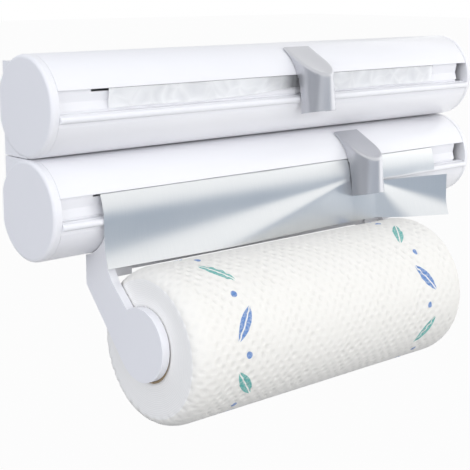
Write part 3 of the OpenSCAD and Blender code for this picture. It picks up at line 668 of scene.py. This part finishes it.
def wound_roll(name, outer, ends, axis_z, finish, body, slot, node):
    """A lathe of rings, from the core out to the wall, with uneven ends."""
    rings = np.arange(CORE_R, outer - WALL_INSET, RING_GAP)
    stand = 0.3 + 0.14 * np.sin(rings * 9.0) + 0.10 * np.sin(rings * 3.1 + 1.0)
    left = [(ends[0] + s, r) for r, s in zip(rings, stand)]
    right = [(ends[1] - s, r) for r, s in zip(rings, stand)]
    wall = [(x, outer) for x in np.linspace(ends[0] + WALL_INSET, ends[1] - WALL_INSET, 9)]
    profile = left + wall + right[::-1] + [left[0]]
    angles = np.linspace(0, 2 * math.pi, 97)
    y, z = np.cos(angles[:-1]), np.sin(angles[:-1])
    points = [row(x, AXIS_Y + r * y, axis_z + r * z) for x, r in profile]
    uv = [row(x if r == outer else r, r * angles) for x, r in profile]
    mesh = grid_mesh(name, points, uv, wrap=True)
    close_lathe(mesh)
    mesh.set_sharp_from_angle(angle=math.radians(40))
    mesh.materials.append(finish)
    return place_piece(name, mesh, body, slot, node)


film_wound, tree, shader, place = start("wound_polyethylene_film", "UV", IOR=1.51, Roughness=0.2)
bands = add(tree, "ShaderNodeTexNoise", {"Vector": place, "Scale": 1 / 0.009, "Detail": 3.0})
surface(shader, bands, ("#DCE4E8", "#F2F6F8"), relief=(bands, 0.3, 0.0005))
wound_roll("wound_film", FILM_R, FILM_X, UPPER_Z - FILM_DROP, film_wound,
           "film_supply", "cling_film", "film_roll")
wound_roll("wound_foil", FOIL_R, FOIL_X, LOWER_Z - FOIL_DROP, foil_metal,
           "foil_supply", "aluminium_foil", "foil_roll")

# %% [markdown]
# ## Cutting sliders
# A slider is a tongue with straight sides, a round nose and a sloping thumb pad with a soft rim and
# a slight dish. Seen from above, the nose is full at the foot and narrows evenly towards the pad. It
# is built as rings up its height, and rows of faces close its pad and its foot.

# %% Slider tongue
SLIDER_R, BODY_NOSE, PAD_NOSE, TIP, PAD_REAR = 12.5, -38.5, -31.0, -47.5, -15.0
PAD_LEVEL, SLOPE, THROAT = 32.0, math.radians(28), -33.1
FOOT, NOSE_LIFT, TIP_LEAN, DISH = -15.3, 2.7, 0.8, 0.7
SIDE_POINTS, NOSE_POINTS, PAD_COLUMNS = 11, 41, 8


def pad_height(y, depth):
    return (PAD_LEVEL - depth + y * math.sin(SLOPE)) / math.cos(SLOPE)


def plan(inset, t):
    """Seen from above: left side, nose and right side, from the body, t = 0, to the pad, t = 1."""
    r, begin = SLIDER_R - inset, BODY_NOSE + t * (PAD_NOSE - BODY_NOSE)
    tip = TIP + inset + TIP_LEAN * t
    side = np.linspace(PAD_REAR, begin, SIDE_POINTS + 1)[:-1]
    turn = np.linspace(0, math.pi, NOSE_POINTS)
    x = np.concatenate([np.full(SIDE_POINTS, -r), -r * np.cos(turn), np.full(SIDE_POINTS, r)])
    return x, np.concatenate([side, begin + (tip - begin) * np.sin(turn), side[::-1]])


def skin(shape, loops):
    """Bands of faces between closed loops of corners."""
    for below, above in zip(loops, loops[1:]):
        for i in range(len(below)):
            j = (i + 1) % len(below)
            shape.faces.new((below[i], below[j], above[j], above[i]))


def close(shape, loop, dish):
    """Rows of faces across a loop, from its rear edge to its tip, hollowed by a dish."""
    half = len(loop) // 2
    rows = []
    for i in range(1, half):
        left, right = loop[i], loop[-1 - i]
        inner = [shape.verts.new(left.co.lerp(right.co, k / PAD_COLUMNS))
                 for k in range(1, PAD_COLUMNS)]
        for k, corner in enumerate(inner, 1):
            across = math.sin(math.pi * k / PAD_COLUMNS)
            corner.co.z -= dish * across * math.sin(math.pi * (i - 1) / (half - 1))
        rows.append([left, *inner, right])
    shape.faces.new([loop[0], loop[-1], *reversed(rows[0])])
    for a, b in zip(rows, rows[1:]):
        for k in range(PAD_COLUMNS):
            shape.faces.new((a[k], a[k + 1], b[k + 1], b[k]))
    for k in range(PAD_COLUMNS):
        shape.faces.new((rows[-1][k], rows[-1][k + 1], loop[half]))


def tongue(inset=0.0, rim=0.0, deep=0.0):
    """A closed tongue: rings up its wall, a rounded rim, then the pad and the foot."""
    rings = []
    for s in np.linspace(0, 1, 17):
        x, y = plan(inset, s)
        foot = FOOT - deep + NOSE_LIFT * np.clip((THROAT - y) / (THROAT - TIP), 0, 1)
        rings.append((x, y, foot + (pad_height(y, inset + rim) - foot) * s))
    for turn in np.radians([22.5, 45, 67.5, 90]) if rim else []:
        x, y = plan(inset + rim * (1 - math.cos(turn)), 1.0)
        rings.append((x, y, pad_height(y, inset + rim * (1 - math.sin(turn)))))
    shape = bmesh.new()
    loops = [[shape.verts.new(p) for p in zip(*ring)] for ring in rings]
    skin(shape, loops)
    close(shape, loops[0], 0.0)
    close(shape, loops[-1], DISH if rim else 0.0)
    bmesh.ops.recalc_face_normals(shape, faces=shape.faces)
    return shape


print("the pad's rear edge is", round(pad_height(PAD_REAR, 0), 1), "mm above the housing's axis")

# %% [markdown]
# Two Boolean cuts turn a full tongue into a slider. A smaller tongue takes out the hollow, and a bar
# takes out the room for the round housing and the throat that the sheet passes. The cut is made in
# millimetres at the origin. Only the result is moved to its place and made metres.

# %% Sliders in place
WALL, PAD_RIM, HOLLOW_DEEP = 2.0, 1.5, 25.0
ROOM_R, ROOM_SLOT, ROOM_REACH = 31, 8.5, 40


def settled(thing, name):
    """The plain mesh that an object's modifiers leave. The object itself goes."""
    graph = bpy.context.evaluated_depsgraph_get()
    mesh = bpy.data.meshes.new_from_object(thing.evaluated_get(graph))
    bpy.data.objects.remove(thing)
    mesh.name = name
    return mesh


def housing_room():
    """The round housing and the throat below it, as one bar along X."""
    arc = np.linspace(0, math.pi - math.asin(ROOM_SLOT / ROOM_R), 120)
    outline = [(ROOM_R * math.cos(a), ROOM_R * math.sin(a)) for a in arc]
    outline += [(-30.5, ROOM_SLOT), (THROAT, -4.25), (THROAT, -ROOM_REACH),
                (ROOM_REACH, -ROOM_REACH), (ROOM_REACH, 0)]
    shape = bmesh.new()
    ends = [[shape.verts.new((x, y, z)) for y, z in outline] for x in (-ROOM_REACH, ROOM_REACH)]
    skin(shape, ends)
    for end in ends:
        shape.faces.new(end)
    bmesh.ops.recalc_face_normals(shape, faces=shape.faces)
    return shape


def solid(name, shape):
    """A bmesh in mm as an object in mm, for cutting only."""
    mesh = bpy.data.meshes.new(name)
    shape.to_mesh(mesh)
    shape.free()
    return put(name, mesh)


def slider(name, x, axis_z, body, node):
    rough = solid(name + "_rough", tongue(rim=PAD_RIM))
    cutters = [solid("hollow", tongue(inset=WALL, deep=HOLLOW_DEEP)),
               solid("housing_room", housing_room())]
    for cutter in cutters:
        cut = rough.modifiers.new(cutter.name, "BOOLEAN")
        cut.operation, cut.object, cut.solver = "DIFFERENCE", cutter, "EXACT"
    mesh = settled(rough, name)
    for cutter in cutters:
        bpy.data.objects.remove(cutter)
    places = np.zeros(len(mesh.vertices) * 3)
    mesh.vertices.foreach_get("co", places)
    places = (places.reshape(-1, 3) + (x, AXIS_Y, axis_z)) * MM
    mesh.vertices.foreach_set("co", places.ravel())
    mesh.materials.clear()
    mesh.materials.append(grey_abs)
    mesh.shade_smooth()
    mesh.set_sharp_from_angle(angle=math.radians(35))
    mesh.update()
    return place_piece(name, mesh, body, "grey_plastic", node)


slider("film_slider", 15.5, UPPER_Z, "upper_cutter", "upper_slider")
slider("foil_slider", 65.5, LOWER_Z, "lower_cutter", "lower_slider")

# %% [markdown]
# ## Kitchen paper
# A printed border of slanting leaves and dots runs round the paper roll near each end, in blue and
# teal. It is drawn by arithmetic on the roll's UV map, where one unit is one metre of paper, so the
# leaves are 25 mm long and the dots about 4 mm wide. Each line below is one step: its name, what is
# done, and the numbers or earlier steps that it is done with. The last loop makes each distance a
# mask with an edge that is blurred over 0.36 mm.

# %% Printed border
tissue, tree, shader, place = start("creped_tissue_printed", "UV", Roughness=0.95, IOR=1.45,
                                    Sheen_Weight=0.25, Sheen_Roughness=0.6)
ROLL_ROUND = 2 * math.pi * PAPER_R * MM
REPEAT, BORDER, ROLL_HALF = ROLL_ROUND / 8, 0.080, (ROLL_X[1] - ROLL_X[0]) / 2 * MM
LEAF_LONG, LEAF_WIDE, VEIN, DOT, BLUR = 0.0125, 0.0037, 0.00045, 0.0021, 0.00018
uv = add(tree, "ShaderNodeSeparateXYZ", {0: place}).outputs
drawn = {"across": uv["X"], "round": uv["Y"]}
for name, operation, *values in (
        ("off_middle", "SUBTRACT", "across", ROLL_HALF),
        ("outward", "ABSOLUTE", "off_middle"),
        ("side", "SUBTRACT", "outward", BORDER),
        ("in_repeat", "FLOORED_MODULO", "round", REPEAT),
        ("along", "SUBTRACT", "in_repeat", REPEAT / 2),
        ("in_pair", "FLOORED_MODULO", "round", 2 * REPEAT),
        ("off_pair", "SUBTRACT", "in_pair", REPEAT),
        ("flip", "SIGN", "off_pair"),
        ("slant", "MULTIPLY", "side", "flip"),
        ("slant_part", "MULTIPLY", "slant", 0.60),
        ("long_way", "MULTIPLY_ADD", "along", 0.80, "slant_part"),
        ("along_part", "MULTIPLY", "along", -0.60),
        ("wide_way", "MULTIPLY_ADD", "slant", 0.80, "along_part"),
        ("off_vein", "ABSOLUTE", "wide_way"),
        ("long_share", "DIVIDE", "long_way", LEAF_LONG),
        ("long_square", "MULTIPLY", "long_share", "long_share"),
        ("half_leaf", "MULTIPLY_ADD", "long_square", -LEAF_WIDE, LEAF_WIDE),
        ("off_leaf", "SUBTRACT", "off_vein", "half_leaf"),
        ("off_centre", "ABSOLUTE", "along"),
        ("gap", "SUBTRACT", "off_centre", REPEAT / 2),
        ("gap_square", "MULTIPLY", "gap", "gap"),
        ("dot_square", "MULTIPLY_ADD", "side", "side", "gap_square"),
        ("off_dot", "SQRT", "dot_square")):
    inputs = {i: drawn.get(value, value) for i, value in enumerate(values)}
    drawn[name] = add(tree, "ShaderNodeMath", inputs, operation=operation)
for name, edge in (("leaf", 0.0), ("vein", VEIN), ("dot", DOT)):
    ends = {"Value": drawn["off_" + name], 1: edge - BLUR, 2: edge + BLUR, 3: 1.0, 4: 0.0}
    drawn[name] = add(tree, "ShaderNodeMapRange", ends)
print("border repeats every", round(1000 * REPEAT, 1), "mm")

# %% [markdown]
# Kitchen paper is creped tissue, embossed in a quilt of small dents so that it soaks up more. It is
# warm white and quite matt, with a soft sheen from loose fibre and fine crepe ridges along the roll,
# drawn 0.8 mm apart. The dents are painted a shade greyer, as painted shade inside them. The ink
# lies on the paper unevenly, in a mottle about 1.6 mm wide.

# %% Creped tissue
mottle = add(tree, "ShaderNodeTexNoise", {"Vector": place, "Scale": 1 / 0.0016, "Detail": 3.0})
worn = add(tree, "ShaderNodeMapRange", {"Value": mottle, 1: 0.3, 2: 0.6, 3: 0.6, 4: 0.95})
cloud = add(tree, "ShaderNodeTexNoise", {"Vector": place, "Scale": 1 / 0.030, "Detail": 2.0})
shade = add(tree, "ShaderNodeMix", {0: cloud, 6: "#F2F0EB", 7: "#EDEBE5"}, data_type="RGBA")
bare = add(tree, "ShaderNodeMath", {0: 1.0, 1: drawn["vein"]}, operation="SUBTRACT")
leaf = add(tree, "ShaderNodeMath", {0: drawn["leaf"], 1: bare}, operation="MULTIPLY")
turn = add(tree, "ShaderNodeMath", {0: drawn["flip"], 1: 0.5, 2: 0.5}, operation="MULTIPLY_ADD")
hue = add(tree, "ShaderNodeMix", {0: turn, 6: "#3D78BE", 7: "#2FA7A0"}, data_type="RGBA")
for mask, colour in ((leaf, hue), (drawn["dot"], "#3D78BE")):
    ink = add(tree, "ShaderNodeMath", {0: mask, 1: worn}, operation="MULTIPLY")
    shade = add(tree, "ShaderNodeMix", {0: ink, 6: shade, 7: colour}, data_type="RGBA")
# Painted shade in the dents: the deeper a point is pressed, the greyer it is painted.
dents = add(tree, "ShaderNodeAttribute", attribute_name="pressed").outputs["Fac"]
grey = add(tree, "ShaderNodeMath", {0: dents, 1: 0.10}, operation="MULTIPLY")
shade = add(tree, "ShaderNodeMix", {0: grey, 6: shade, 7: "#77787A"}, data_type="RGBA")
creping = (1 / 0.004, 1 / 0.0008, 1.0)
ridges = add(tree, "ShaderNodeMapping", {"Vector": place, "Scale": creping})
crepe = add(tree, "ShaderNodeTexNoise", {"Vector": ridges, "Scale": 1.0, "Detail": 2.0})
bump = add(tree, "ShaderNodeBump", {"Height": crepe, "Strength": 0.25, "Distance": 0.0004})
feed(shader, {"Base Color": shade, "Normal": bump})
print("made", tissue.name, "with", len(tree.nodes), "nodes")

# %% [markdown]
# The end of a paper roll shows the cut edges of its layers, matt and without print, in fine paler
# and greyer rings. Real layers are about 0.4 mm apart. They are drawn 1.1 mm apart, to show.

# %% Layered tissue ends
tissue_edge, tree, shader, place = start("layered_tissue_edge", Roughness=0.97, IOR=1.45)
axis = (0, -ROLL_Y * MM, -ROLL_Z * MM)
centred = add(tree, "ShaderNodeMapping", {"Vector": place, "Location": axis})
across = add(tree, "ShaderNodeVectorMath", {0: centred, 1: (0, 1, 1)}, operation="MULTIPLY")
radius = add(tree, "ShaderNodeVectorMath", {0: across}, operation="LENGTH")
loose = add(tree, "ShaderNodeTexNoise", {"Vector": place, "Scale": 1 / 0.012, "Detail": 2.0})
wander = add(tree, "ShaderNodeMath", {0: loose, 1: 0.0025, 2: radius}, operation="MULTIPLY_ADD")
wave = add(tree, "ShaderNodeMath", {0: wander, 1: 2 * math.pi / 0.0011}, operation="MULTIPLY")
ring = add(tree, "ShaderNodeMath", {0: wave}, operation="SINE")
level = add(tree, "ShaderNodeMapRange", {"Value": ring, 1: -1.0, 2: 1.0, 3: 0.0, 4: 1.0})
surface(shader, level, ("#EFEEEC", "#F5F4F2"), relief=(level, 0.1, 0.0004))
print("made", tissue_edge.name)

# %% [markdown]
# The roll itself is a lathe of rings. Soft paper draws in towards its ends, so the shoulders are
# long ellipses. The outer layer starts at a loose end, a low step across the roll. Each ring also
# stores how far it belongs to the outside, from 0 on the cut ends to 1: only that is embossed.

# %% Plain roll
BORE, SHOULDER, DRAWN_IN, END_ROOM = 20.25, 13.0, 7.0, 0.2
AROUND, LAYER, LOOSE_END = 330, 0.35, 0.36
angles = np.linspace(0, 2 * math.pi, AROUND + 1)
step = 0.05 + LAYER * ((angles[:-1] / (2 * math.pi) + LOOSE_END) % 1.0)
y, z = -np.cos(angles[:-1]), np.sin(angles[:-1])
inner_r = PAPER_R - DRAWN_IN
ends = [(0.25 + 0.18 * math.sin(1.7 * r), r, 0.0) for r in np.linspace(BORE, inner_r, 11)]
for a in np.linspace(0, math.pi / 2, 13)[1:-1]:
    ends.append((END_ROOM + SHOULDER * (1 - math.cos(a)), inner_r + DRAWN_IN * math.sin(a), 0.7))
inset = SHOULDER + END_ROOM
profile = [(ROLL_X[0] + d, r, k) for d, r, k in ends]
profile += [(x, PAPER_R, 1.0) for x in np.linspace(ROLL_X[0] + inset, ROLL_X[1] - inset, 234)]
profile += [(ROLL_X[1] - d, r, k) for d, r, k in reversed(ends)] + [profile[0]]
points, row_uv = [], []
for x, r, k in profile:
    reach = r - step * k
    points.append(row(x, ROLL_Y + reach * y, ROLL_Z + reach * z))
    row_uv.append(row(x - ROLL_X[0], PAPER_R * angles))
paper_mesh = grid_mesh("paper", points, row_uv, wrap=True)
store(paper_mesh, "outside", np.repeat([k for _, _, k in profile], AROUND))
close_lathe(paper_mesh)
print("plain roll has", len(paper_mesh.polygons), "faces")

# %% [markdown]
# The dents follow a rule, so Geometry Nodes press them in: a wave along the roll times a wave round
# it leaves a staggered quilt. Noise bends its rows and makes the dents uneven, as soft paper is.
# The tree also stores how deep each point is pressed, so that the finish paints shade into the dents,
# and gives the ends their own.
# A helper makes a tree with named inputs, because the screws need one too.

# %% Embossing tree
def new_tree(name, takes, gives, **sizes):
    """A Geometry Nodes tree, its inputs' identifiers by name, and the sockets that it is given."""
    tree = bpy.data.node_groups.new(name, "GeometryNodeTree")
    face = tree.interface
    face.new_socket(takes, in_out="INPUT", socket_type="NodeSocketGeometry")
    keys = {size: face.new_socket(size, in_out="INPUT", socket_type="NodeSocket" + kind).identifier
            for size, kind in sizes.items()}
    face.new_socket(gives, in_out="OUTPUT", socket_type="NodeSocketGeometry")
    return tree, keys, add(tree, "NodeGroupInput").outputs


emboss, emboss_keys, given = new_tree("embossed_quilt", "Paper", "Paper", pitch_along="Float",
                                      pitch_round="Float", depth="Float")
own = add(emboss, "GeometryNodeInputNamedAttribute", {"Name": "UVMap"}, data_type="FLOAT_VECTOR")
outside = add(emboss, "GeometryNodeInputNamedAttribute", {"Name": "outside"}, data_type="FLOAT")
spot = add(emboss, "GeometryNodeInputPosition")
drift = add(emboss, "ShaderNodeTexNoise", {"Vector": spot, "Scale": 1 / 0.014, "Detail": 1.0})
wander = add(emboss, "ShaderNodeVectorMath",
             {0: drift.outputs["Color"], 1: (0.0065, 0.0065, 0.0)}, operation="MULTIPLY")
moved = add(emboss, "ShaderNodeVectorMath", {0: own, 1: wander}, operation="ADD")
uv = add(emboss, "ShaderNodeSeparateXYZ", {0: moved}).outputs
heights = []
for way, pitch in (("X", "pitch_along"), ("Y", "pitch_round")):
    turn = add(emboss, "ShaderNodeMath", {0: uv[way], 1: given[pitch]}, operation="DIVIDE")
    wave = add(emboss, "ShaderNodeMath", {0: turn, 1: 2 * math.pi}, operation="MULTIPLY")
    heights.append(add(emboss, "ShaderNodeMath", {0: wave}, operation="COSINE"))
quilt = add(emboss, "ShaderNodeMath", {0: heights[0], 1: heights[1]}, operation="MULTIPLY")
press = add(emboss, "ShaderNodeMapRange", {"Value": quilt, 1: 0.0, 2: 0.9, 3: 0.0, 4: 1.0})
uneven = add(emboss, "ShaderNodeMapRange", {"Value": drift, 1: 0.3, 2: 0.7, 3: 0.3, 4: 1.0})
for limit in (uneven, outside):
    press = add(emboss, "ShaderNodeMath", {0: press, 1: limit}, operation="MULTIPLY")
noted = add(emboss, "GeometryNodeStoreNamedAttribute",
            {"Geometry": given["Paper"], "Name": "pressed", "Value": press},
            data_type="FLOAT", domain="POINT")
inward = press
for size in (given["depth"], -1.0):
    inward = add(emboss, "ShaderNodeMath", {0: inward, 1: size}, operation="MULTIPLY")
normal = add(emboss, "GeometryNodeInputNormal")
offset = add(emboss, "ShaderNodeVectorMath", {0: normal, "Scale": inward}, operation="SCALE")
pressed = add(emboss, "GeometryNodeSetPosition", {"Geometry": noted, "Offset": offset})
real = add(emboss, "GeometryNodeRealizeInstances", {"Geometry": pressed})
cut = add(emboss, "GeometryNodeSetMaterial", {"Geometry": real, "Material": tissue_edge})
is_sheet = add(emboss, "FunctionNodeCompare", {0: outside, 1: 0.5}, data_type="FLOAT",
               operation="GREATER_THAN")
sheet = add(emboss, "GeometryNodeSetMaterial",
            {"Geometry": cut, "Selection": is_sheet, "Material": tissue})
add(emboss, "NodeGroupOutput", {0: sheet})
print("embossing tree has", len(emboss.nodes), "nodes")

# %% [markdown]
# The tree is run once, on the plain roll, with the pitch and depth of a kitchen paper's quilt. What
# it leaves is an ordinary mesh that rides on the roll's body.

# %% Embossed roll
def run_tree(tree, keys, mesh, name, sizes):
    """The plain mesh that a tree makes from a mesh."""
    thing = put(name + "_start", mesh)
    maker = thing.modifiers.new(tree.name, "NODES")
    maker.node_group = tree
    for size, value in sizes.items():
        maker[keys[size]] = value
    return settled(thing, name)


quilt_sizes = {"pitch_along": 0.0074, "pitch_round": ROLL_ROUND / 34, "depth": 0.0009}
pressed_mesh = run_tree(emboss, emboss_keys, paper_mesh, "paper", quilt_sizes)
place_piece("paper", pressed_mesh, "paper_roll", "tissue_paper", "kitchen_roll")
print("paper's finishes:", [m.name for m in pressed_mesh.materials])

# %% [markdown]
# ## Screws
# Pan-head screws hold the plate, the rail, the arms and the hubs. They all have one shape, so one
# Geometry Nodes tree makes them on the points where they sit: a tapered head with a cross recess, a
# shank, and a thread that winds round it. Each group gets its own shank length and direction.

# %% Screw tree
screw_tree, screw_keys, given = new_tree(
    "pan_head_screws", "Places", "Screws", head_radius="Float", head_height="Float",
    shank_radius="Float", shank_length="Float", thread_turns="Float", turn="Vector")
part = {}
for name, size, share in (
        ("crown", "head_radius", 0.78), ("slot_long", "head_radius", 1.05),
        ("slot_wide", "head_radius", 0.26), ("core", "shank_radius", 0.82),
        ("point", "shank_radius", 0.55), ("ridge", "shank_radius", 0.16),
        ("wound", "shank_length", 0.86)):
    part[name] = add(screw_tree, "ShaderNodeMath", {0: given[size], 1: share}, operation="MULTIPLY")
head = add(screw_tree, "GeometryNodeMeshCone",
           {"Vertices": 28, "Radius Top": part["crown"], "Radius Bottom": given["head_radius"],
            "Depth": given["head_height"]})
lift = add(screw_tree, "ShaderNodeCombineXYZ", {2: given["head_height"]})
for a, b in (("slot_long", "slot_wide"), ("slot_wide", "slot_long")):
    size = add(screw_tree, "ShaderNodeCombineXYZ", {0: part[a], 1: part[b], 2: given["head_height"]})
    block = add(screw_tree, "GeometryNodeMeshCube", {"Size": size})
    cutter = add(screw_tree, "GeometryNodeTransform", {"Geometry": block, "Translation": lift})
    head = add(screw_tree, "GeometryNodeMeshBoolean", {"Mesh 1": head, "Mesh 2": cutter},
               operation="DIFFERENCE")
over = add(screw_tree, "GeometryNodeTransform", {"Geometry": head, "Rotation": (math.pi, 0, 0)})
shank = add(screw_tree, "GeometryNodeMeshCone",
            {"Vertices": 20, "Radius Top": part["point"], "Radius Bottom": part["core"],
             "Depth": given["shank_length"]})
winding = add(screw_tree, "GeometryNodeCurveSpiral",
              {"Resolution": 14, "Rotations": given["thread_turns"], "Start Radius": part["core"],
               "End Radius": part["point"], "Height": part["wound"]})
section = add(screw_tree, "GeometryNodeCurvePrimitiveCircle",
              {"Resolution": 4, "Radius": part["ridge"]})
thread = add(screw_tree, "GeometryNodeCurveToMesh",
             {"Curve": winding, "Profile Curve": section, "Fill Caps": True})
whole = add(screw_tree, "GeometryNodeJoinGeometry")
for piece in (over, shank, thread):
    feed(whole, {0: piece})
aim = add(screw_tree, "FunctionNodeEulerToRotation", {0: given["turn"]})
spread = add(screw_tree, "GeometryNodeInstanceOnPoints",
             {"Points": given["Places"], "Instance": whole, "Rotation": aim})
real = add(screw_tree, "GeometryNodeRealizeInstances", {"Geometry": spread})
plated = add(screw_tree, "GeometryNodeSetMaterial", {"Geometry": real, "Material": zinc_plate})
add(screw_tree, "NodeGroupOutput", {0: plated})
print("screw tree has", len(screw_tree.nodes), "nodes")

# %% [markdown]
# Five groups of screws use the tree. A group is placed by a few points in millimetres, and its turn
# points the shank from the head into the piece that it holds.

# %% Screws in place
THREAD_PITCH = 1.1


def screws(name, places, turn, length, body, node):
    mesh = bpy.data.meshes.new(name + "_places")
    mesh.from_pydata([[v * MM for v in p] for p in places], [], [])
    sizes = {"head_radius": 0.003, "head_height": 0.0016, "shank_radius": 0.0015,
             "shank_length": length * MM, "thread_turns": length / THREAD_PITCH, "turn": turn}
    made = run_tree(screw_tree, screw_keys, mesh, name, sizes)
    made.shade_smooth()
    made.set_sharp_from_angle(angle=math.radians(30))
    return place_piece(name, made, body, "screw_steel", node)


QUARTER = math.pi / 2
hub_z = float(span("left_hub_screw")[1][2])
screws("plate_screws", [(x, -5.2, z) for x in (-110, 110) for z in (-7, 7)], (-QUARTER, 0, 0), 4.8,
       "holder", "housing_screws")
screws("rail_fixing_screws", [(1.9 + 99 * k, -44.0, -68.0) for k in (-1, 0, 1)], (0, 0, 0), 13.4,
       "holder", "rail_screws")
screws("arm_fixing_screw", [(-137.0, -44.0, -71.35)], (0, 0, 0), 8.65, "holder", "left_arm_screw")
screws("left_hub_fixing_screw", [(-143.6, ROLL_Y, hub_z)], (0, -QUARTER, 0), 6.6,
       "holder", "left_hub_screw")
screws("right_hub_fixing_screw", [(86.6, ROLL_Y, hub_z)], (0, QUARTER, 0), 6.6,
       "sliding_arm", "right_hub_screw")
